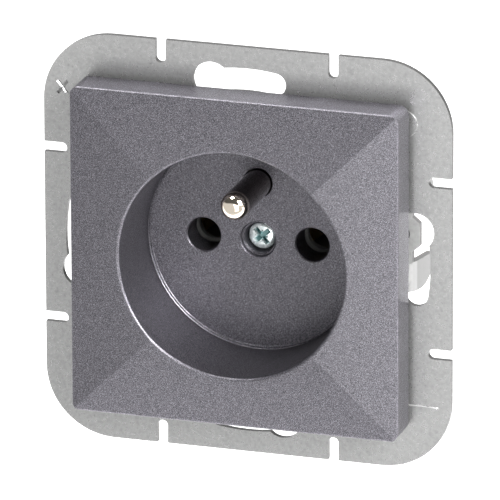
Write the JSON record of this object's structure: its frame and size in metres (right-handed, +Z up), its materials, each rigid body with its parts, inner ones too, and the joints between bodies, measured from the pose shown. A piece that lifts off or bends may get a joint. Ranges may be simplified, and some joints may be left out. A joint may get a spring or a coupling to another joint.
{
  "type": "flush wall socket",
  "caption": "Flush wall socket insert: square metallic cover with a round plug recess and earth pin, steel support plate, spreading claws and a rear contact base.",
  "frame": {"origin": "middle of the support plate's back face, which lies on the wall", "axes": "the socket faces -Y and the base goes into the wall along +Y; +X is to the right seen from the front and +Z is up"},
  "size_m": [0.071, 0.0395, 0.071],
  "materials": {
    "support_plate": "galvanised",
    "cover_plate": "graphite metallic",
    "cover_screw": "zinc plated",
    "cover_nut": "zinc plated",
    "base_cap": "moulded",
    "socket_base": "moulded",
    "contacts": "rolled",
    "earth_pin": "nickel plated",
    "clamps": "passivated zinc",
    "rivets": "plated",
    "claws": "zinc plated",
    "claw_screws": "zinc plated"
  },
  "bodies": {
    "socket": {"support_plate": "support_plate", "cover_plate": "cover_plate", "cover_screw": "cover_screw", "cover_nut": "cover_nut", "base_cap": "base_cap", "socket_base": "socket_base", "line_contact": "contacts", "neutral_contact": "contacts", "earth_pin": "earth_pin", "earth_strap": "contacts", "line_clamp": "clamps", "neutral_clamp": "clamps", "earth_clamp": "clamps", "terminal_screws": "clamps", "base_rivets": "rivets"},
    "right_claw": {"claw_right": "claws", "claw_screw_right": "claw_screws"},
    "left_claw": {"claw_left": "claws", "claw_screw_left": "claw_screws"}
  },
  "joints": [
    {"name": "right_claw_spread", "type": "hinge", "parent": "socket", "child": "right_claw", "pos_m": [0.0238, -0.00295, 0.0021], "axis": [0, 0, -1], "range_deg": [0, 12]},
    {"name": "left_claw_spread", "type": "hinge", "parent": "socket", "child": "left_claw", "pos_m": [-0.0238, -0.00295, -0.0021], "axis": [0, 0, 1], "range_deg": [0, 12]}
  ]
}
